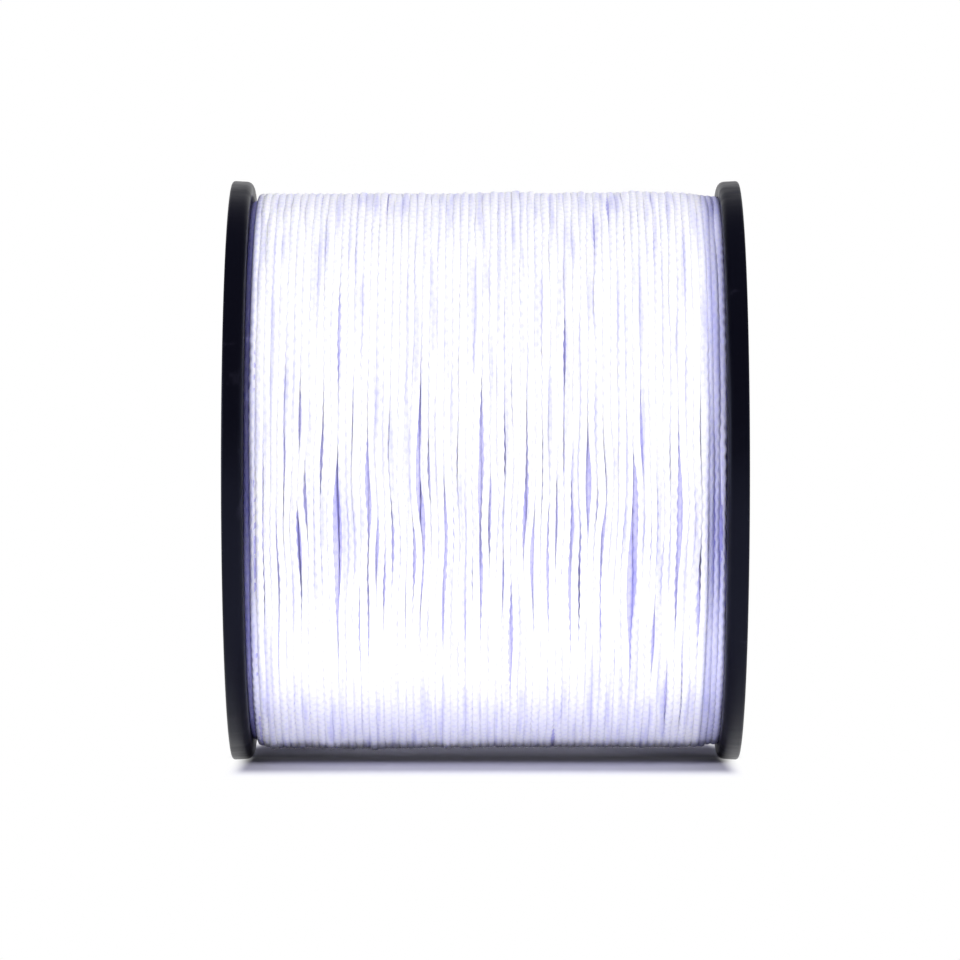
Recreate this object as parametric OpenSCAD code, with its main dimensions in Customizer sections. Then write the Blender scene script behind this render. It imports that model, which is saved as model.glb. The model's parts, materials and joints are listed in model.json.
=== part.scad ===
// String reel. Two moulded flanges are glued on a drum and a hub tube, and racket string is wound between them.
// The reel's axis is X, the origin is the middle of its bore, and +Z is up. The reel stands on its two rims.
// Angles round the axis are counted from straight up, towards +Y.

/* [Flanges] */
// Outside diameter of the flanges
flange_d = 105; // [95:1:125]
// Width of a rim along the axis
rim_w = 3.8; // [3.4:0.1:6]
// Rounding of a rim's edge at the reel's outer face
edge_r = 0.5; // [0.3:0.1:1.3]
// Rounding of a rim's edge over the winding
inner_edge_r = 1.3; // [0.5:0.1:1.6]
// How much a rim's crest falls towards the winding
crest_fall = 0.2; // [0:0.1:0.4]
// Height of a rim over the winding
lip = 1.9; // [1.3:0.1:4]
// Thickness of a flange's web
web_t = 2; // [1.4:0.1:2.3]
// Outside diameter of the raised ring inside the label
bead_d = 54; // [50:1:62]
// Width of that raised ring
bead_w = 1.2; // [0.8:0.1:2]
// Height of the raised ring and of the ribs over the web
rib_h = 1.3; // [0.6:0.1:1.6]
// Width of a rib
rib_w = 1.2; // [0.8:0.1:2]
// Ribs between the collar and the raised ring, a multiple of the drive holes
ribs = 6; // [3:3:12]

/* [Drum and hub] */
// Clear width between the flanges
winding_w = 83.9; // [60:0.1:110]
// Outside diameter of the drum
drum_d = 75; // [66:1:84]
// Wall of the drum
drum_wall = 2; // [1.5:0.1:3.5]
// Diameter of the spindle's bore
bore_d = 22; // [16:0.5:26]
// Wall of the hub tube
hub_wall = 2; // [1.5:0.1:2.5]
// Chamfer at each mouth of the bore
bore_chamfer = 0.6; // [0.2:0.1:1.2]
// Wall of the flange's collar round the hub tube
collar_wall = 2.2; // [1.6:0.1:2.6]
// Wall of the flange's spigot inside the drum
spigot_wall = 1.8; // [1.2:0.1:2.5]
// Reach of the spigot and the collar into the drum
spigot_l = 6; // [4:0.5:10]
// Clearance on the radius of a glued joint
glue_gap = 0.05; // [0.02:0.01:0.12]

/* [Drive holes] */
// Holes for a winder's drive pins in each flange
drive_holes = 3; // [1:1:3]
// Diameter of the circle through their centres
drive_circle_d = 41; // [39:0.5:43]
// Diameter of a drive hole
drive_hole_d = 5; // [3:0.5:6]

/* [String] */
// Diameter of the string
string_d = 1.25; // [1.1:0.05:1.4]
// Loops of the outer layer, each a band of strings that lie side by side
loops = 24; // [16:1:24]
// Gap between neighbouring bands
band_gap = 0.45; // [0.42:0.01:0.8]
// Least gap between the outer layer and the core under it
layer_gap = 0.15; // [0.12:0.01:0.3]
// Depth of the sunken last turns beside a flange
shoulder_drop = 1.3; // [1.2:0.1:2]
// Play of the string in the holes that it is threaded through
hole_play = 0.35; // [0.25:0.05:0.6]

/* [String ends] */
// Angle of the hole that the outer end leaves by
tail_angle = 62; // [20:1:160]
// Distance to the hole that the outer end goes back into
tail_run = 11; // [6:0.5:20]
// Angle of the hole in the drum for the inner end
start_angle = 120; // [0:1:180]
// Distance of that hole from the end of the spigot
start_inset = 4; // [2:0.5:10]
// Diameter of the knot on the inner end
knot_d = 3.4; // [2.6:0.1:5]

/* [Labels] */
// Thickness of the paper labels
label_t = 0.2; // [0.1:0.05:0.4]
// Margin between a label and what surrounds it
label_margin = 1; // [0.5:0.1:3]

/* [Hidden] */
$fn = 96;
black = [0.08, 0.08, 0.10];
white = [0.93, 0.93, 0.96];
paper = [0.86, 0.85, 0.82];

inner_face = winding_w / 2;
web_face = inner_face + web_t;
outer_face = inner_face + rim_w;
drum_r = drum_d / 2;
flange_r = flange_d / 2;
winding_r = flange_r - lip;
drum_in_r = drum_r - drum_wall;
bore_r = bore_d / 2;
hub_r = bore_r + hub_wall;
collar_in_r = hub_r + glue_gap;
collar_r = collar_in_r + collar_wall;
spigot_r = drum_in_r - glue_gap;
bead_r = bead_d / 2;
spigot_lead = spigot_wall / 3;
cut = 1;

// The outer layer's middle radius, and the core that its flat-sided loops just clear
rings_per_loop = 24;
layer_r = winding_r - string_d / 2;
core_r = (winding_r - string_d) * cos(180 / rings_per_loop) - layer_gap;
shoulder_r = core_r - shoulder_drop;
shoulder_w = string_d + 2 * layer_gap;

// The outer end's holes clear the core, and the rim starts just outside them
string_hole_d = string_d + hole_play;
tail_r = core_r + layer_gap + string_d / 2;
rim_in_r = tail_r + string_hole_d / 2 + glue_gap;
tail_turn = tail_run / tail_r * 180 / PI;

// The outer layer runs from one shoulder to the other
layer_end = inner_face - 2 * string_d;
pitch = 2 * layer_end / loops;
band_w = pitch - band_gap;
rise_x = -(inner_face - layer_gap - string_d / 2);
rise_r = layer_r - shoulder_r - string_d;
taper_turn = 60;

// The inner end goes into the drum here
anchor_x = -(inner_face - spigot_l - start_inset);

// A point at a radius, an angle round the axis and a distance along it
function on_reel(r, angle, x) = [x, r * sin(angle), r * cos(angle)];

// 0 before low, 1 after high, and a smooth step between them
function step(low, high, v) = let(t = min(1, max(0, (v - low) / (high - low)))) t * t * (3 - 2 * t);

// Points on an arc of a flat outline
function arc(cx, cy, r, from, to, steps = 6) =
    [for (i = [0:steps]) let(a = from + (to - from) * i / steps) [cx + r * cos(a), cy + r * sin(a)]];

// A flange's section: distance from the axis, and height over the inner face
flange_outline = concat(
    [[collar_in_r, -spigot_l], [collar_r, -spigot_l], [collar_r, 0],
     [spigot_r - spigot_wall, 0], [spigot_r - spigot_wall, -spigot_l],
     [spigot_r - spigot_lead, -spigot_l], [spigot_r, -spigot_l + spigot_lead], [spigot_r, 0]],
    arc(flange_r - crest_fall - inner_edge_r, inner_edge_r, inner_edge_r, -90, 0),
    arc(flange_r - edge_r, rim_w - edge_r, edge_r, 0, 90),
    [[rim_in_r, rim_w], [rim_in_r, web_t],
     [bead_r, web_t], [bead_r, web_t + rib_h], [bead_r - bead_w, web_t + rib_h], [bead_r - bead_w, web_t],
     [collar_r, web_t], [collar_r, rim_w], [collar_in_r, rim_w]]);

module ring(out_r, in_r, h) {
    difference() {
        cylinder(r = out_r, h = h);
        translate([0, 0, -cut]) cylinder(r = in_r, h = h + 2 * cut);
    }
}

// Turns a shape that stands on Z so that its axis is X, and +X stays straight up
module lay() {
    rotate([0, -90, 0]) mirror([0, 0, 1]) children();
}

// One flange on Z, with its inner face at height 0. X is straight up on the finished reel
module flange() {
    rib_l = bead_r - bead_w / 2 - collar_r + collar_wall / 2;
    difference() {
        union() {
            rotate_extrude() polygon(flange_outline);
            for (i = [0:ribs - 1])
                rotate([0, 0, (i + 0.5) * 360 / ribs])
                    translate([collar_r - collar_wall / 2, -rib_w / 2, web_t - rib_h])
                        cube([rib_l, rib_w, 2 * rib_h]);
        }
        for (i = [0:drive_holes - 1])
            rotate([0, 0, i * 360 / drive_holes])
                translate([drive_circle_d / 2, 0, -cut])
                    cylinder(d = drive_hole_d, h = web_t + 2 * cut);
        for (turn = [0, tail_turn])
            rotate([0, 0, tail_angle + turn])
                translate([tail_r, 0, -cut])
                    cylinder(d = string_hole_d, h = web_t + 2 * cut);
    }
}

module right_flange() {
    color(black) translate([inner_face, 0, 0]) lay() flange();
}

// The same moulding, turned end for end so that the drive holes of both line up
module left_flange() {
    color(black) rotate([0, 0, 180]) translate([inner_face, 0, 0]) lay() flange();
}

module drum() {
    color(black)
        difference() {
            translate([-inner_face, 0, 0]) lay() ring(drum_r, drum_in_r, winding_w);
            translate([anchor_x, 0, 0])
                rotate([-start_angle, 0, 0])
                    cylinder(d = string_hole_d, h = drum_r + cut);
        }
}

module hub_tube() {
    mouth_r = bore_r + bore_chamfer;
    section = [[bore_r, bore_chamfer], [mouth_r, 0], [hub_r, 0],
               [hub_r, 2 * outer_face], [mouth_r, 2 * outer_face], [bore_r, 2 * outer_face - bore_chamfer]];
    color(black) translate([-outer_face, 0, 0]) lay() rotate_extrude() polygon(section);
}

// A bare paper ring that lies on the web, between the raised ring and the string's holes
module label() {
    lay() ring(tail_r - string_hole_d / 2 - label_margin, bead_r + label_margin, label_t);
}

module right_label() {
    color(paper) translate([web_face, 0, 0]) label();
}

module left_label() {
    color(paper) rotate([0, 0, 180]) translate([web_face, 0, 0]) label();
}

// The inner layers, with their last turns sunk beside each flange
module string_core() {
    in_r = drum_r + glue_gap;
    section = [[in_r, 0], [shoulder_r, 0], [shoulder_r, shoulder_w], [core_r, shoulder_w],
               [core_r, winding_w - shoulder_w], [shoulder_r, winding_w - shoulder_w],
               [shoulder_r, winding_w], [in_r, winding_w]];
    color(white) translate([-inner_face, 0, 0]) lay() rotate_extrude() polygon(section);
}

// A flat-sided section of a string or a band of strings, round a middle point
function section(middle, wide, tall, w) =
    let(side = w / 2, flat = w / 2 - string_d / 4, half = string_d / 2)
    [for (p = [[side, 0], [flat, half], [-flat, half], [-side, 0], [-flat, -half], [flat, -half]])
        middle + wide * p[0] + tall * p[1]];

along = [1, 0, 0];
function outward(angle) = on_reel(1, angle, 0);
function around(angle) = on_reel(1, angle + 90, 0);

last_angle = 360 * loops;
function band_at(turned) =
    string_d + (band_w - string_d) * step(rings_per_loop, taper_turn, turned)
        * step(rings_per_loop, taper_turn, last_angle - turned);
function layer_x(turned) =
    -layer_end + pitch * turned / 360 + (rise_x + layer_end) * (1 - step(0, taper_turn, turned));

// The inner end rises from the shoulder, bends and starts to wind
rise_rings = [for (b = [-30:30:90])
    let(bend = max(0, b),
        r = b < 0 ? shoulder_r : shoulder_r + string_d + rise_r * sin(bend),
        turned = rise_r * (1 - cos(bend)) / layer_r * 180 / PI,
        angle = tail_angle + turned)
    section(on_reel(r, angle, rise_x), along, around(angle) * -cos(bend) + outward(angle) * sin(bend), string_d)];

loop_rings = [for (i = [1:rings_per_loop * loops - 1])
    let(turned = i * 360 / rings_per_loop, angle = tail_angle + turned)
    section(on_reel(layer_r, angle, layer_x(turned)), along, outward(angle), band_at(turned))];

// The outer end bends towards the flange and meets it at the first hole
leave_rings = [for (b = [0:30:120])
    let(bend = min(90, b),
        angle = tail_angle - string_d * (1 - sin(bend)) / tail_r * 180 / PI,
        x = b > 90 ? inner_face : layer_end + string_d * (1 - cos(bend)))
    section(on_reel(tail_r, angle, x), along * cos(bend) - around(angle) * sin(bend), outward(angle), string_d)];

layer_rings = concat(rise_rings, loop_rings, leave_rings);

// The least gap between the corners of neighbouring loops
layer_least_gap = min([for (i = [0:len(layer_rings) - rings_per_loop - 2])
    for (ahead = [rings_per_loop - 1:rings_per_loop + 1])
        for (p = layer_rings[i]) for (q = layer_rings[i + ahead]) norm(p - q)]);
echo(layer_least_gap_mm = layer_least_gap);

// A closed tube through a list of rings that have as many corners each
module tube_through(rings) {
    sides = len(rings[0]);
    last = len(rings) - 1;
    points = [for (r = rings) for (p = r) p];
    walls = [for (i = [0:last - 1]) for (k = [0:sides - 1])
        let(a = i * sides + k, b = i * sides + (k + 1) % sides)
        each [[a, b, b + sides], [a, b + sides, a + sides]]];
    caps = [for (k = [1:sides - 2])
        each [[0, k + 1, k], [last * sides, last * sides + k, last * sides + k + 1]]];
    polyhedron(points = points, faces = concat(walls, caps), convexity = 10);
}

module string_outer_layer() {
    color(white) tube_through(layer_rings);
}

// The inner end, through the drum's wall, with a knot that can't pass the hole
module string_start() {
    knot_r = knot_d / 2;
    knot_at = drum_in_r - sqrt(knot_r * knot_r - string_hole_d * string_hole_d / 4) - glue_gap;
    color(white)
        translate([anchor_x, 0, 0])
            rotate([-start_angle, 0, 0])
                union() {
                    translate([0, 0, knot_at]) sphere(r = knot_r);
                    translate([0, 0, knot_at]) cylinder(d = string_d, h = drum_r - knot_at);
                }
}

// The outer end goes out through one hole of the right flange, along its web and back into the next hole
tail_x = web_face + glue_gap + string_d / 2;
tail_bend = string_d / 2 + 2 * glue_gap;
tail_route = concat(
    [[inner_face, 0, 0]],
    [for (b = [0:30:90]) [tail_x - tail_bend * (1 - sin(b)), tail_bend * (1 - cos(b)), b]],
    [for (s = [1:3]) [tail_x, tail_run * s / 4, 90]],
    [for (b = [90:30:180]) [tail_x - tail_bend * (1 - sin(b)), tail_run - tail_bend * (1 + cos(b)), b]],
    [[inner_face + web_t / 4, tail_run, 180]]);

module string_tail() {
    sides = 8;
    rings = [for (stop = tail_route)
        let(angle = tail_angle + stop[1] / tail_r * 180 / PI,
            across = around(angle) * cos(stop[2]) - along * sin(stop[2]))
        [for (k = [0:sides - 1])
            on_reel(tail_r, angle, stop[0])
                + (across * cos(k * 360 / sides) + outward(angle) * sin(k * 360 / sides)) * string_d / 2]];
    color(white) tube_through(rings);
}

left_flange();
right_flange();
drum();
hub_tube();
left_label();
right_label();
string_core();
string_outer_layer();
string_start();
string_tail();
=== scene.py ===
import json
import math

import bmesh
import bpy
import numpy as np
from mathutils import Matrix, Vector


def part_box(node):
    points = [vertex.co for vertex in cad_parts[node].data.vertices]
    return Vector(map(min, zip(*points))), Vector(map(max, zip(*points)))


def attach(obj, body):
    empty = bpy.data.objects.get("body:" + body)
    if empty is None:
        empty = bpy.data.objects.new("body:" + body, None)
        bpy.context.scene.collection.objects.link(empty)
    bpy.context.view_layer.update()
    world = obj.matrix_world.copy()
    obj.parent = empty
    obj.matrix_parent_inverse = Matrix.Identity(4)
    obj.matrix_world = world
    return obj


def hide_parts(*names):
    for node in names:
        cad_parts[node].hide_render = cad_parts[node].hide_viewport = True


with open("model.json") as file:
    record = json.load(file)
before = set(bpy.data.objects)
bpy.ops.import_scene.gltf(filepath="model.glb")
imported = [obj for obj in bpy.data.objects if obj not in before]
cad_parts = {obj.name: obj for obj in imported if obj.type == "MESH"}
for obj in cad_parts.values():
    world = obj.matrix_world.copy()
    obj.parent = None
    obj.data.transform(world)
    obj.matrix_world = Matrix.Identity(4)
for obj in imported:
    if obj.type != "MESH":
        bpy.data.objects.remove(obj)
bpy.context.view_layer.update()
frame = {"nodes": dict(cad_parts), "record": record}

mm = 0.001


# What every piece is placed by, read from the frame

def reach(node, axis):
    return max(abs(corner[axis]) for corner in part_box(node))


flangeRadius = reach("right_flange", 2)
outerFace = reach("right_flange", 0)
innerFace = reach("string_core", 0)
drumRadius = reach("drum", 2)
hubRadius = reach("hub_tube", 2)
labelFace = min(abs(corner[0]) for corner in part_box("right_label"))
labelRadius = reach("right_label", 2)
webThickness = labelFace - innerFace
rimWidth = outerFace - innerFace
windingRadius = reach("string_outer_layer", 2)
mounts = {mount["name"]: mount for mount in frame["record"]["mounts"]}
boreRadius = mounts["spindle_bore"]["dims"]["r_mm"] * mm
boreChamfer = outerFace - mounts["spindle_bore"]["dims"]["length_mm"] * mm / 2
driveHoles = mounts["right_drive_holes"]["dims"]


# Materials

def linear(hexColour):
    channels = [int(hexColour[i:i + 2], 16) / 255 for i in (1, 3, 5)]
    return tuple(c / 12.92 if c <= 0.04045 else ((c + 0.055) / 1.055) ** 2.4 for c in channels) + (1.0,)


def setSockets(tree, node, sockets):
    for name, value in sockets.items():
        socket = node.inputs[name]
        if isinstance(value, bpy.types.NodeSocket):
            tree.links.new(value, socket)
        else:
            socket.default_value = value


def addNode(tree, kind, sockets=None, **settings):
    node = tree.nodes.new(kind)
    for name, value in settings.items():
        setattr(node, name, value)
    setSockets(tree, node, sockets or {})
    return node


def mathsFor(tree):
    # A short way to add maths nodes to one tree
    def maths(operation, *values):
        return addNode(tree, "ShaderNodeMath", dict(enumerate(values)), operation=operation).outputs["Value"]
    return maths


def mixColours(tree, factor, first, second, blend="MIX"):
    # Of this node's sockets, 6 and 7 take the colours and 2 gives the mixed one
    sockets = {"Factor": factor, 6: first, 7: second}
    return addNode(tree, "ShaderNodeMix", sockets, data_type="RGBA", blend_type=blend).outputs[2]


def newMaterial(name):
    material = bpy.data.materials.new(name)
    material.use_nodes = True
    tree = material.node_tree
    tree.nodes.clear()
    output = addNode(tree, "ShaderNodeOutputMaterial")
    surface = addNode(tree, "ShaderNodeBsdfPrincipled")
    tree.links.new(surface.outputs["BSDF"], output.inputs["Surface"])
    return material, tree, surface


def ramp(tree, factor, stops):
    node = addNode(tree, "ShaderNodeValToRGB", {"Fac": factor})
    elements = node.color_ramp.elements
    while len(elements) < len(stops):
        elements.new(0.5)
    for element, (position, colour) in zip(elements, stops):
        element.position = position
        element.color = colour
    return node.outputs["Color"]


mouldedStyrene = {
    "colour": "#08080e",
    "scuffColour": "#1d1c25",
    "roughness": (0.32, 0.46),
    "specular": 0.19,
    "specularTint": "#bcc6ff",
    "peelSize": 0.9 * mm,
    "peelDepth": 0.05 * mm,
    "peelStrength": 0.12,
    "scuffSize": 14 * mm,
    "scratchSize": 1.6 * mm,
    "scratchStretch": (0.25, 1.0, 0.25),
    "wear": (0.18, 0.42),
    "scuffFrom": 0.36,
    "scuffFull": 0.46,
}


def makeMouldedStyrene():
    # High-impact polystyrene, injection moulded: near black, a satin gloss, faintly uneven, scuffed by handling
    values = mouldedStyrene
    material, tree, surface = newMaterial("mouldedBlackStyrene")
    place = addNode(tree, "ShaderNodeTexCoord").outputs["Object"]
    peel = addNode(tree, "ShaderNodeTexNoise", {"Vector": place, "Scale": 1 / values["peelSize"], "Detail": 2.0})
    scuff = addNode(tree, "ShaderNodeTexNoise",
                    {"Vector": place, "Scale": 1 / values["scuffSize"], "Detail": 7.0, "Roughness": 0.68})
    stretch = addNode(tree, "ShaderNodeMapping", {"Vector": place, "Scale": values["scratchStretch"]})
    scratch = addNode(tree, "ShaderNodeTexNoise",
                      {"Vector": stretch.outputs["Vector"], "Scale": 1 / values["scratchSize"], "Detail": 4.0})
    worn = mathsFor(tree)("MULTIPLY", scuff.outputs["Fac"], scratch.outputs["Fac"])
    least, most = values["wear"]
    low, high = values["roughness"]
    shine = addNode(tree, "ShaderNodeMapRange",
                    {"Value": worn, "From Min": least, "From Max": most, "To Min": low, "To Max": high})
    colour, scuffColour = linear(values["colour"]), linear(values["scuffColour"])
    base = ramp(tree, worn, [(0.0, colour), (values["scuffFrom"], colour), (values["scuffFull"], scuffColour)])
    bump = addNode(tree, "ShaderNodeBump", {"Height": peel.outputs["Fac"], "Strength": values["peelStrength"],
                                            "Distance": values["peelDepth"]})
    setSockets(tree, surface, {"Base Color": base, "Roughness": shine.outputs["Result"],
                               "Specular IOR Level": values["specular"],
                               "Specular Tint": linear(values["specularTint"]), "Normal": bump.outputs["Normal"]})
    return material


braidedNylon = {
    "colour": "#f8f8fc",
    "grooveShadeColour": "#f0f0fb",
    # Painted shade: the lower layer's nylon is a darker lavender copy of the white, and its grooves take the deep
    # colour
    "belowShadeColour": "#cfcdf4",
    # Painted shade: the colour of the packed deeper layers and of the lower layer's grooves
    "deepShadeColour": "#c3c1f0",
    "cloudColour": "#e4e4f8",
    "cloudSize": (1.4 * mm, 24 * mm, 24 * mm),
    "cloudFrom": 0.5,
    "cloudFull": 0.68,
    # Painted shade of the flanges on the turns beside them, with where it starts and how softly it blends
    "flangeShadeColour": "#dfdff8",
    "edges": (-39.6 * mm, 37.6 * mm),
    "edgeBlend": 1.6 * mm,
    "roughness": 0.5,
    "specular": 0.3,
    "bumpDepth": 0.04 * mm,
    "bumpStrength": 0.9,
    "filaments": 6,
    "filamentHeight": 0.06,
    "grooveLift": 0.25,
    "grooveContrast": 1.2,
    "grooveTo": 0.45,
    "scatter": 0.35,
    "scatterDepth": 0.5 * mm,
    "scatterColours": (0.75, 0.8, 1.3),
    "packedRoughness": 0.7,
}


def makeBraidedNylon(name, colour, grooveShadeColour):
    # Braided nylon filament: white, a little glossy, with painted lavender shade in its grooves where light is lost
    # between the strands
    values = braidedNylon
    material, tree, surface = newMaterial(name)
    strand = addNode(tree, "ShaderNodeAttribute", attribute_name="strand")
    part = addNode(tree, "ShaderNodeSeparateXYZ", {"Vector": strand.outputs["Vector"]})
    maths = mathsFor(tree)
    # The attribute holds the cosine and sine of the angle round the string, and the picks along it
    turned = maths("MULTIPLY", maths("ARCTAN2", part.outputs["Y"], part.outputs["X"]), 2.0)
    picks = maths("MULTIPLY", part.outputs["Z"], 2 * math.pi)
    ridge = maths("MULTIPLY", maths("SINE", turned), maths("SINE", picks))
    crossed = maths("ABSOLUTE", maths("MULTIPLY", maths("COSINE", turned), maths("COSINE", picks)))
    height = maths("ADD", ridge, crossed)
    filament = maths("SINE", maths("MULTIPLY", maths("SUBTRACT", turned, picks), values["filaments"]))
    relief = maths("ADD", height, maths("MULTIPLY", filament, values["filamentHeight"]))
    # Painted shade: the low places of the braid's relief take the darker groove colour
    raised = maths("MULTIPLY", maths("ADD", height, values["grooveLift"]), values["grooveContrast"])
    grooveShade = ramp(tree, raised, [(0.0, linear(grooveShadeColour)), (values["grooveTo"], linear(colour))])
    # Clouds of lavender lie along a few strings at a time
    place = addNode(tree, "ShaderNodeTexCoord").outputs["Object"]
    stretched = addNode(tree, "ShaderNodeMapping", {"Vector": place, "Scale": [1 / k for k in values["cloudSize"]]})
    cloud = addNode(tree, "ShaderNodeTexNoise", {"Vector": stretched.outputs["Vector"], "Scale": 1.0, "Detail": 2.0})
    cover = ramp(tree, cloud.outputs["Fac"],
                 [(values["cloudFrom"], (1.0, 1.0, 1.0, 1.0)), (values["cloudFull"], linear(values["cloudColour"]))])
    clouded = mixColours(tree, 1.0, grooveShade, cover, "MULTIPLY")
    # Beside the flanges the turns are more lavender: painted shade from the flanges
    across = addNode(tree, "ShaderNodeSeparateXYZ", {"Vector": place}).outputs["X"]
    flangeShade = []
    for edge, blend in zip(values["edges"], (-values["edgeBlend"], values["edgeBlend"])):
        fade = addNode(tree, "ShaderNodeMapRange", {"Value": across, "From Min": edge, "From Max": edge + blend})
        flangeShade.append(fade.outputs["Result"])
    base = mixColours(tree, maths("ADD", *flangeShade), clouded, linear(values["flangeShadeColour"]), "MULTIPLY")
    bump = addNode(tree, "ShaderNodeBump",
                   {"Height": relief, "Strength": values["bumpStrength"], "Distance": values["bumpDepth"]})
    setSockets(tree, surface, {"Base Color": base, "Roughness": values["roughness"],
                               "Specular IOR Level": values["specular"], "Subsurface Weight": values["scatter"],
                               "Subsurface Scale": values["scatterDepth"],
                               "Subsurface Radius": values["scatterColours"], "Normal": bump.outputs["Normal"]})
    return material


def makePackedNylon():
    # The deeper layers, seen only between the strings, their colour a painted lavender shade
    material, tree, surface = newMaterial("packedNylonShade")
    setSockets(tree, surface, {"Base Color": linear(braidedNylon["deepShadeColour"]),
                               "Roughness": braidedNylon["packedRoughness"]})
    return material


labelPaper = {
    "colour": "#e4e3de",
    "stain": "#d2d0c8",
    "ringColour": "#3a3b44",
    "ringWidth": 0.8 * mm,
    "ringInset": 1.6 * mm,
    "cloudScale": 60.0,
    "stainFrom": 0.35,
    "stainFull": 0.75,
    "fibreSize": 0.35 * mm,
    "fibreDepth": 0.03 * mm,
    "fibreStrength": 0.25,
    "roughness": 0.82,
}


def makeLabelPaper():
    # Uncoated paper with two plain printed rings: matt, faintly cloudy, with the tooth of its fibres
    values = labelPaper
    material, tree, surface = newMaterial("labelPaper")
    place = addNode(tree, "ShaderNodeTexCoord").outputs["Object"]
    cloud = addNode(tree, "ShaderNodeTexNoise", {"Vector": place, "Scale": values["cloudScale"], "Detail": 5.0})
    fibre = addNode(tree, "ShaderNodeTexNoise", {"Vector": place, "Scale": 1 / values["fibreSize"], "Detail": 3.0})
    flat = addNode(tree, "ShaderNodeVectorMath", {0: place, 1: (0.0, 1.0, 1.0)}, operation="MULTIPLY")
    away = addNode(tree, "ShaderNodeVectorMath", {0: flat.outputs["Vector"]}, operation="LENGTH").outputs["Value"]
    colour = ramp(tree, cloud.outputs["Fac"], [(values["stainFrom"], linear(values["colour"])),
                                               (values["stainFull"], linear(values["stain"]))])
    maths = mathsFor(tree)
    for radius in (labelRadius - values["ringInset"], labelInnerRadius() + values["ringInset"]):
        inside = maths("LESS_THAN", maths("ABSOLUTE", maths("SUBTRACT", away, radius)), values["ringWidth"] / 2)
        colour = mixColours(tree, inside, colour, linear(values["ringColour"]))
    bump = addNode(tree, "ShaderNodeBump", {"Height": fibre.outputs["Fac"], "Strength": values["fibreStrength"],
                                            "Distance": values["fibreDepth"]})
    setSockets(tree, surface, {"Base Color": colour, "Roughness": values["roughness"],
                               "Normal": bump.outputs["Normal"]})
    return material


def labelInnerRadius():
    return min(math.hypot(v.co.y, v.co.z) for v in frame["nodes"]["right_label"].data.vertices)


# Pieces

def linkObject(name, data):
    thing = bpy.data.objects.new(name, data)
    bpy.context.scene.collection.objects.link(thing)
    return thing


def addPiece(name, mesh, slot, *replaced):
    piece = linkObject(name, mesh)
    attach(piece, "root")
    if replaced:
        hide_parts(*replaced)
    return piece


def applyModifiers(host, name):
    bpy.context.view_layer.update()
    graph = bpy.context.evaluated_depsgraph_get()
    mesh = bpy.data.meshes.new_from_object(host.evaluated_get(graph), preserve_all_data_layers=True, depsgraph=graph)
    mesh.name = name
    bpy.data.objects.remove(host)
    return mesh


def shadeAndPaint(mesh, sharpFrom, material):
    mesh.shade_smooth()
    mesh.set_sharp_from_angle(angle=sharpFrom)
    mesh.materials.clear()
    mesh.materials.append(material)


# The flanges: a section turned round the axis, with ribs, holes and the marks of its mould

flange = {
    "outerRounding": 0.5 * mm,
    "innerRounding": 1.3 * mm,
    "crestFall": 0.2 * mm,
    "fillet": 0.4 * mm,
    "smallFillet": 0.25 * mm,
    "mouthFillet": 0.15 * mm,
    "spigotLead": 0.6 * mm,
    "sharpFrom": math.radians(32),
    "segments": 240,
    "glueGap": 0.05 * mm,
    "collarWall": 2.2 * mm,
    "drumWall": 2.0 * mm,
    "spigotWall": 1.8 * mm,
    "labelMargin": 1.0 * mm,
    "beadWidth": 1.2 * mm,
    "ribHeight": 1.3 * mm,
    "ribWidth": 1.2 * mm,
    "ribCount": 6,
    "ribOverlap": (0.8 * mm, 0.5 * mm),
    "stringHole": 1.6 * mm,
    "ejectorMark": 3.2 * mm,
    "ejectorDepth": 0.12 * mm,
    "ejectorCircle": 38 * mm,
    "ejectorCount": 3,
}


def roundCorners(points, radii, steps=5):
    # Replaces each corner that has a radius with an arc
    outline = []
    count = len(points)
    for i, (point, radius) in enumerate(zip(points, radii)):
        here = Vector(point)
        if radius == 0:
            outline.append(here)
            continue
        before = (Vector(points[i - 1]) - here).normalized()
        after = (Vector(points[(i + 1) % count]) - here).normalized()
        half = before.angle(after) / 2
        start = here + before * radius / math.tan(half)
        end = here + after * radius / math.tan(half)
        centre = here + (before + after).normalized() * radius / math.sin(half)
        a, b = start - centre, end - centre
        sweep = a.angle_signed(b)
        for k in range(steps + 1):
            angle = -sweep * k / steps
            outline.append(centre + Vector((a.x * math.cos(angle) - a.y * math.sin(angle),
                                            a.x * math.sin(angle) + a.y * math.cos(angle))))
    return outline


def finishedMesh(mesh, name):
    bmesh.ops.recalc_face_normals(mesh, faces=mesh.faces)
    result = bpy.data.meshes.new(name)
    mesh.to_mesh(result)
    mesh.free()
    return result


def turnedMesh(name, outline, segments):
    # The outline holds distances from the axis and places along it, and is turned round X
    mesh = bmesh.new()
    rings = []
    for k in range(segments):
        angle = 2 * math.pi * k / segments
        rings.append([mesh.verts.new((p[1], p[0] * math.sin(angle), p[0] * math.cos(angle))) for p in outline])
    for k in range(segments):
        a, b = rings[k], rings[(k + 1) % segments]
        for i in range(len(outline)):
            j = (i + 1) % len(outline)
            mesh.faces.new((a[i], a[j], b[j], b[i]))
    return finishedMesh(mesh, name)


def stringHoleAngles():
    # The outer end's two holes, where the frame's string goes through the right flange's inner face
    corners = [v.co for v in frame["nodes"]["string_tail"].data.vertices]
    low = [p for p in corners if p.x < innerFace + webThickness * 0.6]
    angles = [math.atan2(p.y, p.z) for p in low]
    middle = (min(angles) + max(angles)) / 2
    first = [a for a in angles if a < middle]
    second = [a for a in angles if a > middle]
    radius = sum(math.hypot(p.y, p.z) for p in low) / len(low)
    return radius, ((min(first) + max(first)) / 2, (min(second) + max(second)) / 2)


stringHoleRadius, (firstHole, secondHole) = stringHoleAngles()


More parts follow.
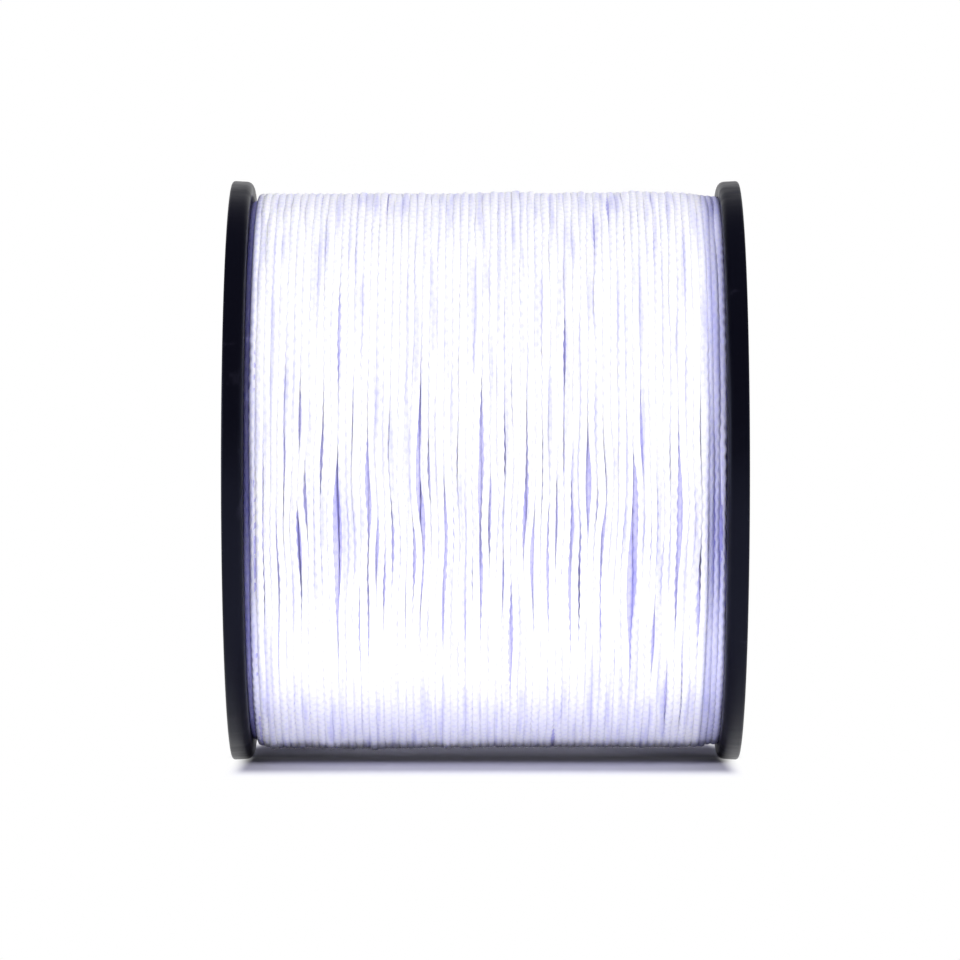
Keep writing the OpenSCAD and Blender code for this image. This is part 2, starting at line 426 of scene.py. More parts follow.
def flangeOutline():
    values = flange
    collarInner = hubRadius + values["glueGap"]
    collarOuter = collarInner + values["collarWall"]
    beadOuter = labelInnerRadius() - values["labelMargin"]
    beadInner = beadOuter - values["beadWidth"]
    rimInner = stringHoleRadius + values["stringHole"] / 2 + values["glueGap"]
    insideEnd = min(abs(corner[0]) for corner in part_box("right_flange")) - innerFace
    spigotOuter = drumRadius - values["drumWall"] - values["glueGap"]
    spigotInner = spigotOuter - values["spigotWall"]
    fillet, small = values["fillet"], values["smallFillet"]
    bead = webThickness + values["ribHeight"]
    corners = [
        (collarInner, insideEnd, 0), (collarOuter, insideEnd, small), (collarOuter, 0, fillet),
        (spigotInner, 0, fillet), (spigotInner, insideEnd, small),
        (spigotOuter, insideEnd, values["spigotLead"]), (spigotOuter, 0, 0),
        (flangeRadius - values["crestFall"], 0, values["innerRounding"]),
        (flangeRadius, rimWidth, values["outerRounding"]),
        (rimInner, rimWidth, small), (rimInner, webThickness, fillet),
        (beadOuter, webThickness, 0), (beadOuter, bead, small), (beadInner, bead, small),
        (beadInner, webThickness, fillet), (collarOuter, webThickness, fillet),
        (collarOuter, rimWidth, small), (collarInner, rimWidth, values["mouthFillet"]),
    ]
    outline = roundCorners([c[:2] for c in corners], [c[2] for c in corners])
    return [(p.x, p.y + innerFace) for p in outline], collarOuter, beadInner


def boxMesh(mesh, low, high, turn):
    corners = [Vector((x, y, z)) for x in (low[0], high[0]) for y in (low[1], high[1]) for z in (low[2], high[2])]
    turned = [mesh.verts.new((p.x, p.y * math.cos(turn) + p.z * math.sin(turn),
                              p.z * math.cos(turn) - p.y * math.sin(turn))) for p in corners]
    for face in ((0, 1, 3, 2), (4, 6, 7, 5), (0, 4, 5, 1), (2, 3, 7, 6), (0, 2, 6, 4), (1, 5, 7, 3)):
        mesh.faces.new([turned[i] for i in face])


def toolObject(name, build):
    mesh = bmesh.new()
    build(mesh)
    return linkObject(name, finishedMesh(mesh, name))


def pegMesh(mesh, distance, turn, radius, low, high, sides=40):
    centre = Vector((0, distance * math.sin(turn), distance * math.cos(turn)))
    rings = []
    for x in (low, high):
        rings.append([mesh.verts.new((x, centre.y + radius * math.sin(2 * math.pi * k / sides),
                                      centre.z + radius * math.cos(2 * math.pi * k / sides))) for k in range(sides)])
    mesh.faces.new(rings[0])
    mesh.faces.new(rings[1])
    for k in range(sides):
        j = (k + 1) % sides
        mesh.faces.new((rings[0][k], rings[0][j], rings[1][j], rings[1][k]))


def makeFlange(name, side, plastic):
    values = flange
    outline, collarOuter, beadInner = flangeOutline()
    host = linkObject(name, turnedMesh(name, outline, values["segments"]))

    def ribs(mesh):
        intoCollar, intoBead = values["ribOverlap"]
        for k in range(values["ribCount"]):
            boxMesh(mesh, (innerFace + webThickness / 2, -values["ribWidth"] / 2, collarOuter - intoCollar),
                    (labelFace + values["ribHeight"], values["ribWidth"] / 2, beadInner + intoBead),
                    math.radians(360 / values["ribCount"] * (k + 0.5)))

    def holes(mesh):
        for k in range(driveHoles["count"]):
            pegMesh(mesh, driveHoles["pcd_mm"] * mm / 2, math.radians(360 / driveHoles["count"] * k),
                    driveHoles["hole_r_mm"] * mm, innerFace - 2 * mm, outerFace)
        for angle in (firstHole, secondHole):
            pegMesh(mesh, stringHoleRadius, angle, values["stringHole"] / 2, innerFace - mm, outerFace, 24)
        for k in range(values["ejectorCount"]):
            pegMesh(mesh, values["ejectorCircle"] / 2, math.radians(360 / values["ejectorCount"] * (k + 0.5)),
                    values["ejectorMark"] / 2, labelFace - values["ejectorDepth"], outerFace)

    for tool, operation in ((toolObject("ribs", ribs), "UNION"), (toolObject("holes", holes), "DIFFERENCE")):
        cut = host.modifiers.new(operation, "BOOLEAN")
        cut.operation = operation
        cut.object = tool
        cut.solver = "EXACT"
    mesh = applyModifiers(host, name)
    for tool in ("ribs", "holes"):
        bpy.data.objects.remove(bpy.data.objects[tool])
    if side < 0:
        points = np.empty(len(mesh.vertices) * 3, np.float32)
        mesh.vertices.foreach_get("co", points)
        points = points.reshape(-1, 3) * (-1, -1, 1)
        mesh.vertices.foreach_set("co", points.ravel().astype(np.float32))
    shadeAndPaint(mesh, values["sharpFrom"], plastic)
    addPiece(name, mesh, "reel_plastic", "right_flange" if side > 0 else "left_flange")


hub = {
    "segments": 160,
    "mouthRounding": 0.3 * mm,
    "roundingSteps": 4,
}


def makeHub(plastic):
    mouth = boreRadius + boreChamfer
    corners = [(boreRadius, -outerFace + boreChamfer), (mouth, -outerFace), (hubRadius, -outerFace),
               (hubRadius, outerFace), (mouth, outerFace), (boreRadius, outerFace - boreChamfer)]
    rounding = hub["mouthRounding"]
    outline = roundCorners(corners, [rounding, 0, 0, 0, 0, rounding], hub["roundingSteps"])
    mesh = turnedMesh("hubTube", outline, hub["segments"])
    shadeAndPaint(mesh, flange["sharpFrom"], plastic)
    addPiece("hubTube", mesh, "reel_plastic", "hub_tube")


# The winding

string = {
    "width": 1.6 * mm,
    "height": 1.16 * mm,
    "pick": 2.34 * mm,
    "lump": 0.07,
    "sway": 0.03 * mm,
    "slack": 0.21,
    "pickWobble": 0.05,
    "wobbleLength": 60 * mm,
    "roll": 1.1,
    "rollLength": 45 * mm,
}

topLayer = {
    "turns": 64,
    "ringsPerTurn": 520,
    "sides": 8,
    "ends": (-40.2 * mm, 41.2 * mm),
    "pieces": 4,
    "drift": 0.36 * mm,
    "wander": 0.26 * mm,
    "wanderLength": 18 * mm,
    "closest": 0.68,
    "openings": 1250,
    "ride": 0.12 * mm,
    "heap": 0.14 * mm,
    "raise": 0.28 * mm,
    "lowest": 0.6 * mm,
    "firstTurns": 0.9,
    "firstSink": 0.35 * mm,
    "lastTurns": 3.1,
    "lastSink": (0.5 * mm, 0.9 * mm),
    "lastSlack": 0.16,
    "seed": 7,
}

lowerLayer = {
    "turns": 65,
    "ringsPerTurn": 200,
    "sides": 6,
    "ends": (-41.25 * mm, 41.25 * mm),
    "drift": 0.2 * mm,
    "wander": 0.14 * mm,
    "wanderLength": 20 * mm,
    "closest": 0.72,
    "openings": 0,
    "ride": 0.05 * mm,
    "heap": 0.0,
    "seed": 23,
    "lowest": 0.5 * mm,
    "drop": 0.74 * mm,
    "edgeDrop": 1.1 * mm,
    "edgeBlend": 1.0 * mm,
    "edgesFrom": (40.6 * mm, 37.4 * mm),
}

packedCore = {
    "drop": 0.3 * string["width"],
    "edgeInset": 0.4 * mm,
    "segments": 180,
    "sharpFrom": math.radians(30),
}

crossing = {"angle": math.radians(-103), "spread": math.radians(16), "least": 0.03}

# How the turns settle beside each other, the same in both layers
laying = {
    "levelTurns": 0.95,
    "driftWaves": 60,
    "driftRepeats": (1, 9),
    "driftLength": 6 * mm,
    "rideLength": 12 * mm,
    "openingReach": (5 * mm, 13 * mm),
    "openingWidths": (0.4 * mm, 0.5 * mm, 1.9 * mm),
    "rounds": 60,
    "smoothEvery": 12,
    "smoothLength": 4 * mm,
    "overrun": 0.1 * mm,
    "pressedRise": 0.25,
    "pressedRange": (-0.5 * mm, 0.3 * mm),
    "highest": 0.999,
    "lowestBend": 0.06 * mm,
}


def smoothNoise(count, spacing, length, seed):
    # Random values along a line, smooth over about that length, with a mean of 0 and a spread of 1
    values = np.random.default_rng(seed).standard_normal(count)
    waves = np.fft.rfft(values)
    pitch = np.fft.rfftfreq(count, spacing)
    waves *= np.exp(-(pitch * length) ** 2 * 2)
    values = np.fft.irfft(waves, count)
    return (values - values.mean()) / values.std()


def driftField(x, angle, seed):
    # Neighbouring turns drift sideways together: a smooth field over the winding that closes round it
    chance = np.random.default_rng(seed)
    waves = laying["driftWaves"]
    field = np.zeros_like(x)
    for _ in range(waves):
        across = chance.normal(0, 1 / laying["driftLength"])
        repeats = chance.integers(*laying["driftRepeats"])
        field += np.cos(repeats * angle + across * x + chance.uniform(0, 2 * math.pi))
    return math.sqrt(2 / waves) * field


def looseness(angle, spread=crossing["spread"]):
    # The turns lie looser where they cross those below, which is on two sides of the reel
    away = np.abs(np.angle(np.exp(2j * (angle - crossing["angle"])))) / 2
    return crossing["least"] + (1 - crossing["least"]) * np.exp(-(away / spread) ** 2)


def woundPath(layer, radius):
    # Every turn lies beside the one before it. Each wanders a little, and none comes closer than pressed together
    turns, rings = layer["turns"], layer["ringsPerTurn"]
    climbing = turns - 2 * laying["levelTurns"]
    count = turns * rings + 1
    spacing = 2 * math.pi * radius / rings
    low, high = layer["ends"]
    u = np.arange(count) / rings
    angle = firstHole + 2 * math.pi * u
    even = low + (high - low) * np.clip((u - laying["levelTurns"]) / climbing, 0, 1)
    loose = looseness(angle)
    x = even + loose * (layer["drift"] * driftField(even, angle, layer["seed"])
                        + layer["wander"] * smoothNoise(count, spacing, layer["wanderLength"], layer["seed"] + 1))
    # Pushed apart at random places, most of them where the turns lie loose
    chance = np.random.default_rng(layer["seed"] + 2)
    step = np.arange(count)
    narrow, usual, widest = laying["openingWidths"]
    for _ in range(layer["openings"]):
        middle = chance.integers(rings, count - 2 * rings)
        if chance.uniform() > loose[middle]:
            continue
        reach = chance.uniform(*laying["openingReach"]) / spacing
        part = slice(max(0, int(middle - 3 * reach)), int(middle + 3 * reach))
        push = min(widest, narrow + chance.exponential(usual)) * np.exp(-((step[part] - middle) / reach) ** 2)
        x[part] -= push / 2
        x[part.start + rings:part.stop + rings] += push[:max(0, count - part.start - rings)] / 2
    # Moved back where they come too close, and smoothed now and then
    least = layer["closest"] * string["width"]
    smooth = np.hanning(max(5, int(laying["smoothLength"] / spacing)))
    smooth /= smooth.sum()
    for k in range(1, laying["rounds"] + 1):
        short = np.maximum(0, least - (x[rings:] - x[:-rings])) / 2
        x[:-rings] -= short
        x[rings:] += short
        x = np.clip(x, low - laying["overrun"], high + laying["overrun"])
        if k % laying["smoothEvery"] == 0:
            padded = np.concatenate([np.full(len(smooth), x[0]), x, np.full(len(smooth), x[-1])])
            x = np.convolve(padded, smooth, "same")[len(smooth):-len(smooth)]
    # Pressed turns rise, loose ones sink
    beside = np.empty(count)
    beside[:-rings] = x[rings:] - x[:-rings]
    beside[-rings:] = beside[-rings - 1]
    before = np.empty(count)
    before[rings:] = beside[:-rings]
    before[:rings] = before[rings]
    pressed = (high - low) / climbing - (beside + before) / 2
    r = radius + layer["ride"] * smoothNoise(count, spacing, laying["rideLength"], layer["seed"] + 3)
    r += layer["heap"] * driftField(even, angle, layer["seed"] + 4)
    r += laying["pressedRise"] * np.clip(pressed, *laying["pressedRange"])
    r -= max(0.0, float(np.quantile(r, laying["highest"])) - radius)
    # No turn sinks so far that the turns below come through
    lowest, bend = radius - layer["lowest"], laying["lowestBend"]
    r = lowest + bend * np.logaddexp(0, (r - lowest) / bend)
    return x, np.minimum(r, radius), u


def stringTree():
    tree = bpy.data.node_groups.new("braidedString", "GeometryNodeTree")
    tree.is_modifier = True
    face = tree.interface
    face.new_socket(name="Geometry", in_out="INPUT", socket_type="NodeSocketGeometry")
    face.new_socket(name="Geometry", in_out="OUTPUT", socket_type="NodeSocketGeometry")
    for name, kind in (("Width", "Float"), ("Height", "Float"), ("Sides", "Int"), ("Lump", "Float"),
                       ("Sway", "Float"), ("Material", "Material")):
        face.new_socket(name=name, in_out="INPUT", socket_type="NodeSocket" + kind)
    given = addNode(tree, "NodeGroupInput").outputs
    finished = addNode(tree, "NodeGroupOutput")
    maths = mathsFor(tree)

    def vectors(operation, first, second, out="Vector"):
        return addNode(tree, "ShaderNodeVectorMath", {0: first, 1: second}, operation=operation).outputs[out]

    def scaled(vector, amount):
        return addNode(tree, "ShaderNodeVectorMath", {0: vector, "Scale": amount}, operation="SCALE").outputs["Vector"]

    def stored(name, kind):
        return addNode(tree, "GeometryNodeInputNamedAttribute", {"Name": name}, data_type=kind).outputs["Attribute"]

    # The points become a line that knows which way is up, and each keeps its place and both directions
    place = addNode(tree, "GeometryNodeInputPosition").outputs["Position"]
    upwards = stored("away", "FLOAT_VECTOR")
    tangent = addNode(tree, "GeometryNodeInputTangent").outputs["Tangent"]
    line = addNode(tree, "GeometryNodeMeshToCurve", {"Mesh": given["Geometry"]}).outputs["Curve"]
    normal = addNode(tree, "GeometryNodeSetCurveNormal", {"Curve": line, "Normal": upwards}, mode="FREE")
    keep = addNode(tree, "GeometryNodeCaptureAttribute", domain="POINT")
    for name in ("centre", "away", "aside"):
        keep.capture_items.new("VECTOR", name)
    setSockets(tree, keep, {"Geometry": normal.outputs["Curve"], 1: place, 2: upwards,
                            3: vectors("CROSS_PRODUCT", tangent, upwards)})
    centre, away, aside = keep.outputs[1], keep.outputs[2], keep.outputs[3]
    picks, roll, slack = (stored(name, "FLOAT") for name in ("picks", "roll", "slack"))
    radius = maths("DIVIDE", given["Width"], 2.0)
    section = addNode(tree, "GeometryNodeCurvePrimitiveCircle", {"Resolution": given["Sides"], "Radius": radius},
                      mode="RADIUS")
    tube = addNode(tree, "GeometryNodeCurveToMesh",
                   {"Curve": keep.outputs["Geometry"], "Profile Curve": section.outputs["Curve"], "Fill Caps": True})
    # Where each point lies round the string, and what the braid's strands make of it there
    offset = vectors("SUBTRACT", place, centre)
    beside = maths("DIVIDE", vectors("DOT_PRODUCT", offset, aside, "Value"), radius)
    above = maths("DIVIDE", vectors("DOT_PRODUCT", offset, away, "Value"), radius)
    across, along = maths("COSINE", roll), maths("SINE", roll)
    cosine = maths("SUBTRACT", maths("MULTIPLY", beside, across), maths("MULTIPLY", above, along))
    sine = maths("ADD", maths("MULTIPLY", beside, along), maths("MULTIPLY", above, across))
    wave = maths("SINE", maths("MULTIPLY", picks, 2 * math.pi))
    ridge = maths("MULTIPLY", maths("MULTIPLY", maths("MULTIPLY", cosine, sine), 2.0), wave)
    lumps = scaled(offset, maths("MULTIPLY", ridge, given["Lump"]))
    sway = scaled(aside, maths("MULTIPLY", wave, given["Sway"]))
    flatter = maths("SUBTRACT", maths("DIVIDE", given["Height"], given["Width"]), 1.0)
    pressed = scaled(away, maths("MULTIPLY", maths("MULTIPLY", above, radius), flatter))
    narrower = scaled(aside, maths("MULTIPLY", maths("MULTIPLY", beside, radius), maths("MULTIPLY", slack, -1.0)))
    shift = vectors("ADD", vectors("ADD", lumps, sway), vectors("ADD", pressed, narrower))
    # The section's place has to be read before the lumps move it
    strand = addNode(tree, "ShaderNodeCombineXYZ", {"X": cosine, "Y": sine, "Z": picks})
    marked = addNode(tree, "GeometryNodeStoreNamedAttribute",
                     {"Geometry": tube.outputs["Mesh"], "Name": "strand", "Value": strand.outputs["Vector"]},
                     data_type="FLOAT_VECTOR", domain="POINT")
    moved = addNode(tree, "GeometryNodeSetPosition", {"Geometry": marked.outputs["Geometry"], "Offset": shift})
    smooth = addNode(tree, "GeometryNodeSetShadeSmooth", {"Geometry": moved.outputs["Geometry"]})
    real = addNode(tree, "GeometryNodeRealizeInstances", {"Geometry": smooth.outputs["Geometry"]})
    painted = addNode(tree, "GeometryNodeSetMaterial",
                      {"Geometry": real.outputs["Geometry"], "Material": given["Material"]})
    tree.links.new(painted.outputs["Geometry"], finished.inputs["Geometry"])
    return tree


def braid(name, points, away, phases, tree, material, sides,
          width=string["width"], height=string["height"], slack=0.0):
    mesh = bpy.data.meshes.new(name)
    mesh.vertices.add(len(points))
    mesh.vertices.foreach_set("co", np.asarray(points, np.float32).ravel())
    mesh.edges.add(len(points) - 1)
    ends = np.arange(len(points) - 1, dtype=np.int32)
    mesh.edges.foreach_set("vertices", np.stack([ends, ends + 1], 1).ravel())
    for attribute, values in zip(("picks", "roll", "slack"), (*phases, np.zeros(len(points)) + slack)):
        mesh.attributes.new(attribute, "FLOAT", "POINT").data.foreach_set("value", values.astype(np.float32))
    mesh.attributes.new("away", "FLOAT_VECTOR", "POINT").data.foreach_set(
        "vector", np.asarray(away, np.float32).ravel())
    host = linkObject(name, mesh)
    modifier = host.modifiers.new("braid", "NODES")
    modifier.node_group = tree
    values = {"Width": width, "Height": height, "Sides": sides, "Lump": string["lump"], "Sway": string["sway"],
              "Material": material}
    for item in tree.interface.items_tree:
        if item.in_out == "INPUT" and item.name in values:
            modifier[item.identifier] = values[item.name]
    return applyModifiers(host, name)


def outward(angle):
    return np.stack([np.zeros_like(angle), np.sin(angle), np.cos(angle)], 1)


def layerPoints(x, r, u):
    away = outward(firstHole + 2 * math.pi * u)
    return away * r[:, None] + x[:, None] * (1, 0, 0), away


def braidPhases(points, seed):
    # How many picks of the braid lie before each point, and how far the string has rolled over: both wander
    steps = np.linalg.norm(np.diff(points, axis=0), axis=1)
    spacing = float(steps.mean())
    wobble = 1 + string["pickWobble"] * smoothNoise(len(points), spacing, string["wobbleLength"], seed)
    picks = np.concatenate([[0], np.cumsum(steps * wobble[:-1])]) / string["pick"]
    return picks, string["roll"] * smoothNoise(len(points), spacing, string["rollLength"], seed + 1)


def makeWinding(white, shaded, packed):
    tree = stringTree()
    radius = windingRadius - string["height"] / 2 + topLayer["raise"]
    x, r, u = woundPath(topLayer, radius)
    # The first turn lies low, and the last few lower and looser, above all where they cross the turns below
    angle = firstHole + 2 * math.pi * u
    first = np.exp(-(u / topLayer["firstTurns"]) ** 4)
    last = np.exp(-((u[-1] - u) / topLayer["lastTurns"]) ** 6)
    lastLoose = last * looseness(angle, 2 * crossing["spread"])
    sink, looseSink = topLayer["lastSink"]
    r -= topLayer["firstSink"] * first + sink * last + looseSink * lastLoose
    slack = string["slack"] * looseness(angle) + topLayer["lastSlack"] * lastLoose
    points, away = layerPoints(x, r, u)
    share = (len(points) - 1) // topLayer["pieces"]
    picks, roll = braidPhases(points, topLayer["seed"] + 5)
    for k in range(topLayer["pieces"]):
        name = "windingTop" + str(k + 1)
        part = slice(k * share, (k + 1) * share + 1)
        mesh = braid(name, points[part], away[part], (picks[part], roll[part]), tree, white, topLayer["sides"],
                     slack=slack[part])
        addPiece(name, mesh, "string", "string_outer_layer")
    # The layer below, which steps down beside the flanges
    x, r, u = woundPath(lowerLayer, radius - lowerLayer["drop"])
    left, right = lowerLayer["edgesFrom"]
    blend = lowerLayer["edgeBlend"]
    edge = np.clip((np.maximum(x - left, -x - right) + blend / 2) / blend, 0, 1)
    r -= lowerLayer["edgeDrop"] * edge * edge * (3 - 2 * edge)
    points, away = layerPoints(-x, r, u)
    phases = braidPhases(points, lowerLayer["seed"] + 5)
    mesh = braid("windingBelow", points, away, phases, tree, shaded, lowerLayer["sides"])
    addPiece("windingBelow", mesh, "string", "string_core")
    # All that lies deeper is packed too close to show as strings
    deep = radius - lowerLayer["drop"] - packedCore["drop"]
    shoulder = deep - lowerLayer["edgeDrop"]
    left, right = left - packedCore["edgeInset"], right - packedCore["edgeInset"]
    outline = [(drumRadius, -innerFace), (shoulder, -innerFace), (shoulder, -left), (deep, -left),
               (deep, right), (shoulder, right), (shoulder, innerFace), (drumRadius, innerFace)]
    mesh = turnedMesh("windingInner", outline, packedCore["segments"])
    shadeAndPaint(mesh, packedCore["sharpFrom"], packed)
    addPiece("windingInner", mesh, "string", "string_core")
    return tree


ends = {
    "width": 1.27 * mm,
    "height": 1.2 * mm,
    "sides": 16,
    "spacing": 0.12 * mm,
    "bend": 0.8 * mm,
    "clearance": 0.08 * mm,
    "knotTurns": 2.2,
    "knotRadius": 1.05 * mm,
    "knotPitch": 1.3 * mm,
    "knotRings": 140,
    "seeds": (41, 43, 47),
}


def evenPath(corners, bend):
    # A path through these corners in a flat drawing, its bends round, with points at even steps
    line = [Vector(corners[0])]
    for before, here, after in zip(corners, corners[1:], corners[2:]):
        here = Vector(here)
        start = here + (Vector(before) - here).normalized() * bend
        end = here + (Vector(after) - here).normalized() * bend
        line += [start.lerp(here, t).lerp(here.lerp(end, t), t) for t in np.linspace(0, 1, 9)]
    line.append(Vector(corners[-1]))
    line = np.array([tuple(p) for p in line])
    steps = np.concatenate([[0], np.cumsum(np.linalg.norm(np.diff(line, axis=0), axis=1))])
    even = np.linspace(0, steps[-1], int(steps[-1] / ends["spacing"]))
    return np.stack([np.interp(even, steps, line[:, k]) for k in range(2)], 1)


def makeStringEnds(tree, white):
    def addEnd(name, points, away, seed, node):
        mesh = braid(name, points, away, braidPhases(points, seed), tree, white, ends["sides"],
                     ends["width"], ends["height"])
        addPiece(name, mesh, "string", node)

    tailSeed, startSeed, knotSeed = ends["seeds"]
    # The outer end: out of one hole of the right flange, along its web and back into the next
    height = labelFace + ends["width"] / 2 + ends["clearance"]
    run = (secondHole - firstHole) * stringHoleRadius
    flat = evenPath([(innerFace, 0), (height, 0), (height, run), (innerFace + webThickness / 4, run)], ends["bend"])
    away = outward(firstHole + flat[:, 1] / stringHoleRadius)
    points = away * stringHoleRadius + flat[:, :1] * (1, 0, 0)
    addEnd("stringTail", points, away, tailSeed, "string_tail")
    # The inner end: through the drum's wall, then wrapped round itself as a stopper
    corners = [v.co for v in frame["nodes"]["string_start"].data.vertices]
    middle = sum(corners, Vector()) / len(corners)
    turn = math.atan2(middle.y, middle.z)
    inner = min(math.hypot(p.y, p.z) for p in corners)
    depth = np.arange(drumRadius, inner + 0.2 * mm, -ends["spacing"])
    up = np.array([0, math.sin(turn), math.cos(turn)])
    side = np.array([0, math.cos(turn), -math.sin(turn)])
    axis = np.array([1.0, 0, 0])
    points = up * depth[:, None] + axis * middle.x
    addEnd("stringStart", points, np.tile(axis, (len(depth), 1)), startSeed, "string_start")
    angle = np.linspace(0, 2 * math.pi * ends["knotTurns"], ends["knotRings"])[:, None]
    away = axis * np.cos(angle) + side * np.sin(angle)
    climb = inner + ends["width"] / 2 + ends["knotPitch"] * angle / (2 * math.pi)
    points = axis * middle.x + away * ends["knotRadius"] + up * climb
    addEnd("stringKnot", points, away, knotSeed, "string_start")


# Stage

stage = {
    "floorColour": "#f4f4fa",
    # Painted shadow: the floor's colour under and round the reel, and where it fades out
    "shadeColour": "#9e9da6",
    "shadeAcross": (0.0418, 0.0456),
    "shadeAlong": (0.042, 0.078),
    "shadeMiddle": 0.008,
    # Painted shade behind the rims: its colour, and where it lies across and along the floor
    "cornerShadeColour": "#898990",
    "cornerAcross": (0.016, 0.041, 0.0446, 0.0474),
    "cornerAlong": (0.0, 0.014, 0.038, 0.064),
    "cornerLeast": 0.45,
    "floorSize": 6.0,
    "floorRoughness": 0.9,
    "floorSpecular": 0.1,
    "roomColour": "#bcbcf6",
    "room": 0.14,
    "mirroredWall": (0.62, 1.0),
    "distance": 1.0788,
    "lens": 222.75,
    "sensor": 36.0,
    "centre": (485.45, 470.28),
    "pixels": 960,
}


def makeFloor():
    low, size = -flangeRadius, stage["floorSize"]
    mesh = bpy.data.meshes.new("floor")
    mesh.from_pydata([(-size, -size, low), (size, -size, low), (size, size, low), (-size, size, low)], [],
                     [(0, 1, 2, 3)])
    floor = linkObject("floor", mesh)
    material, tree, surface = newMaterial("whiteSweep")
    maths = mathsFor(tree)

    def fade(value, start, end, least=0.0):
        return addNode(tree, "ShaderNodeMapRange",
                       {"Value": value, "From Min": start, "From Max": end, "To Min": least},
                       interpolation_type="SMOOTHSTEP").outputs["Result"]

    # The reel's painted shadow in the floor's colour: a box round the middle, with soft sides
    place = addNode(tree, "ShaderNodeTexCoord").outputs["Object"]
    moved = addNode(tree, "ShaderNodeVectorMath", {0: place, 1: (0.0, stage["shadeMiddle"], 0.0)}, operation="SUBTRACT")
    side = addNode(tree, "ShaderNodeVectorMath", {0: moved.outputs["Vector"]}, operation="ABSOLUTE")
    part = addNode(tree, "ShaderNodeSeparateXYZ", {"Vector": side.outputs["Vector"]}).outputs
    farAcross = fade(part["X"], *stage["shadeAcross"])
    farAlong = fade(part["Y"], *stage["shadeAlong"])
    far = maths("MULTIPLY_ADD", farAcross, maths("SUBTRACT", 1.0, farAlong), farAlong)
    tint = ramp(tree, far, [(0.0, linear(stage["shadeColour"])), (1.0, linear(stage["floorColour"]))])
    # The floor's colour is painted darkest behind the rims, as shade where it is shut in between them and the winding
    along = addNode(tree, "ShaderNodeSeparateXYZ", {"Vector": place}).outputs["Y"]
    behindRimsShade = 1.0
    for value, lowest, (start, full, last, end) in ((part["X"], stage["cornerLeast"], stage["cornerAcross"]),
                                                    (along, 0.0, stage["cornerAlong"])):
        behindRimsShade = maths("MULTIPLY", fade(value, start, full, lowest), behindRimsShade)
        behindRimsShade = maths("MULTIPLY", fade(value, end, last), behindRimsShade)
    darker = mixColours(tree, behindRimsShade, tint, linear(stage["cornerShadeColour"]), "MULTIPLY")
    setSockets(tree, surface, {"Base Color": darker, "Roughness": stage["floorRoughness"],
                               "Specular IOR Level": stage["floorSpecular"]})
    # To the camera and in reflections the floor is plain white, but for the painted shade
    clear = maths("MULTIPLY", far, maths("SUBTRACT", 1.0, behindRimsShade))
    path = addNode(tree, "ShaderNodeLightPath").outputs
    seen = maths("MAXIMUM", path["Is Camera Ray"], path["Is Glossy Ray"])
    glow = addNode(tree, "ShaderNodeEmission", {"Color": (1.0, 1.0, 1.0, 1.0)})
    both = addNode(tree, "ShaderNodeMixShader", {"Fac": maths("MULTIPLY", seen, clear),
                                                 1: surface.outputs["BSDF"], 2: glow.outputs["Emission"]})
    output = next(n for n in tree.nodes if n.type == "OUTPUT_MATERIAL")
    setSockets(tree, output, {"Surface": both.outputs["Shader"]})
    mesh.materials.append(material)


def makeRoom():
    # White to the camera, and in reflections too, where the backdrop stands. Everything else sees a dim room
    world = bpy.data.worlds.new("studio")
    bpy.context.scene.world = world
    world.use_nodes = True
    tree = world.node_tree
    tree.nodes.clear()
    maths = mathsFor(tree)
    path = addNode(tree, "ShaderNodeLightPath").outputs
    direction = addNode(tree, "ShaderNodeTexCoord").outputs["Generated"]
    part = addNode(tree, "ShaderNodeSeparateXYZ", {"Vector": direction})
    start, full = stage["mirroredWall"]
    behind = addNode(tree, "ShaderNodeMapRange", {"Value": part.outputs["Y"], "From Min": start, "From Max": full})
    mirrored = maths("MULTIPLY", path["Is Glossy Ray"], behind.outputs["Result"])
    seen = addNode(tree, "ShaderNodeBackground", {"Color": (1.0, 1.0, 1.0, 1.0), "Strength": 1.0})
    soft = addNode(tree, "ShaderNodeBackground", {"Color": linear(stage["roomColour"]), "Strength": stage["room"]})
    mix = addNode(tree, "ShaderNodeMixShader", {"Fac": maths("MAXIMUM", path["Is Camera Ray"], mirrored),
                                                1: soft.outputs["Background"], 2: seen.outputs["Background"]})
    addNode(tree, "ShaderNodeOutputWorld", {"Surface": mix.outputs["Shader"]})


def addLamp(name, place, target, size, power, colour, mirrored):
    lamp = bpy.data.lights.new(name, "AREA")
    lamp.shape = "RECTANGLE"
    lamp.size, lamp.size_y = size
    lamp.energy = power
    lamp.color = linear(colour)[:3]
    holder = linkObject(name, lamp)
    holder.location = place
    holder.rotation_euler = (Vector(target) - Vector(place)).to_track_quat("-Z", "Y").to_euler()
    holder.visible_camera = False
    holder.visible_glossy = mirrored


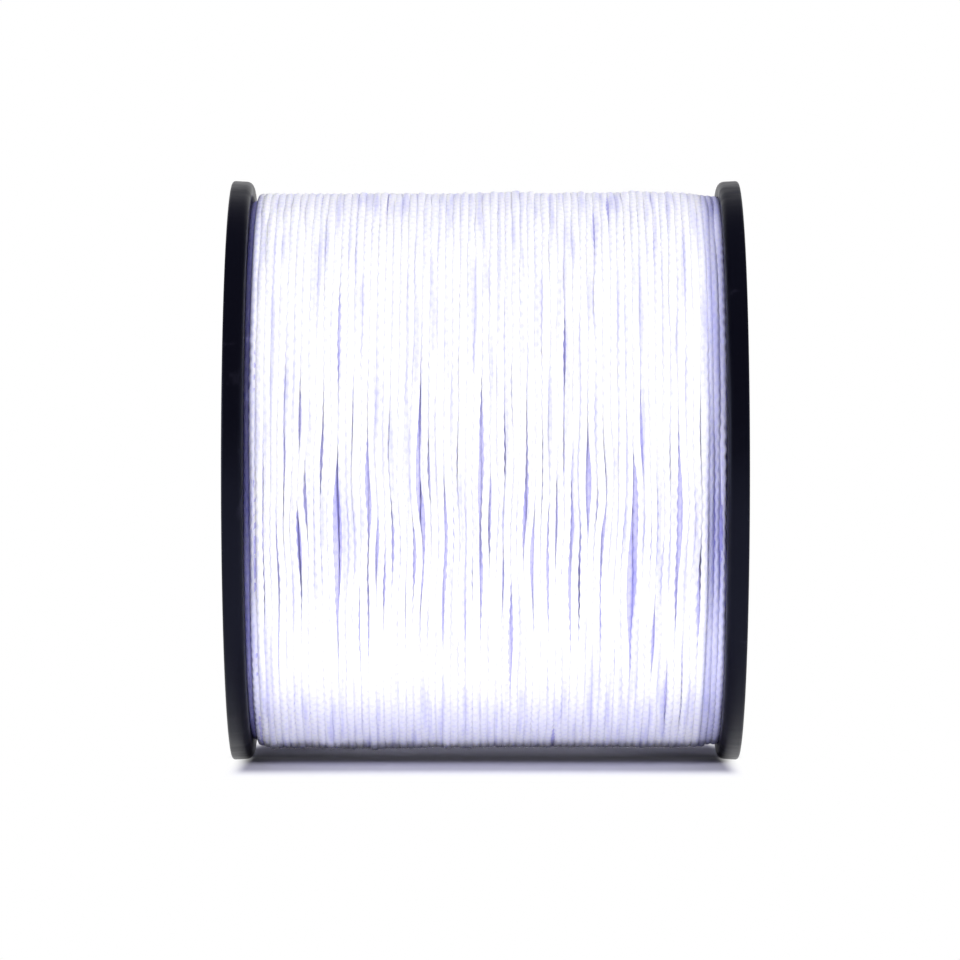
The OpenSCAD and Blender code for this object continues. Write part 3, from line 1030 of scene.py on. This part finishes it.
# Name, place, what it points at, size, power in watts, colour, and whether the reel mirrors it
lamps = [
    ("softboxFrontLeft", (-0.48, -0.53, 0.33), (0, 0, 0), (0.4, 0.4), 3.4, "#ffffff", False),
    ("softboxFrontRight", (0.66, -0.38, 0.29), (0, 0, 0), (0.4, 0.4), 5.6, "#ffffff", False),
    ("softboxTop", (0.0, -0.10, 0.85), (0, 0, 0), (0.6, 0.4), 2.1, "#ececff", False),
    ("softboxLeft", (-0.90, -0.06, 0.13), (0, 0, 0), (0.5, 0.4), 3.0, "#ffffff", True),
    ("softboxRight", (0.90, -0.06, 0.13), (0, 0, 0), (0.5, 0.4), 0.4, "#ffffff", True),
    ("softboxBack", (0.0, 0.92, 0.06), (0, 0, 0), (0.6, 0.20), 6.0, "#ffffff", False),
    ("panelLow", (0.0, -0.125, -0.0515), (0, -0.125, 0.5), (0.14, 0.10), 0.006, "#f4f4ff", False),
    ("panelNear", (0.0, -0.0520, -0.0515), (0, -0.0520, 0.5), (0.10, 0.025), 0.012, "#f4f4ff", False),
    ("panelUnder", (0.0, -0.030, -0.0515), (0, -0.030, 0.5), (0.08, 0.035), 0.0055, "#e4e4ff", False),
]


def makeCamera():
    lens = bpy.data.cameras.new("camera")
    lens.lens = stage["lens"]
    lens.sensor_width = stage["sensor"]
    lens.shift_x = (stage["pixels"] / 2 - stage["centre"][0]) / stage["pixels"]
    lens.shift_y = (stage["centre"][1] - stage["pixels"] / 2) / stage["pixels"]
    lens.clip_end = 20.0
    camera = linkObject("camera", lens)
    camera.location = (0.0, -stage["distance"], 0.0)
    camera.rotation_euler = (math.radians(90), 0.0, 0.0)
    bpy.context.scene.camera = camera


makeCamera()
makeFloor()
makeRoom()
for lamp in lamps:
    addLamp(*lamp)
bpy.context.scene.view_settings.view_transform = "Standard"
print("stage: camera, floor and lights")

plastic = makeMouldedStyrene()
white = makeBraidedNylon("braidedWhiteNylon", braidedNylon["colour"], braidedNylon["grooveShadeColour"])
# The lower layer's copy of the nylon carries painted shade, darker and more lavender than the top layer
shaded = makeBraidedNylon("braidedNylonBelowShaded", braidedNylon["belowShadeColour"], braidedNylon["deepShadeColour"])
packed = makePackedNylon()
paper = makeLabelPaper()
print("materials: made")

makeFlange("rightFlange", 1, plastic)
makeFlange("leftFlange", -1, plastic)
makeHub(plastic)
print("reel: flanges and hub tube turned")

tree = makeWinding(white, shaded, packed)
print("winding: braided")
makeStringEnds(tree, white)
print("string: both ends led")

for node, material in (("drum", plastic), ("left_label", paper), ("right_label", paper)):
    mesh = frame["nodes"][node].data
    mesh.materials.clear()
    mesh.materials.append(material)
print("pieces: finished")
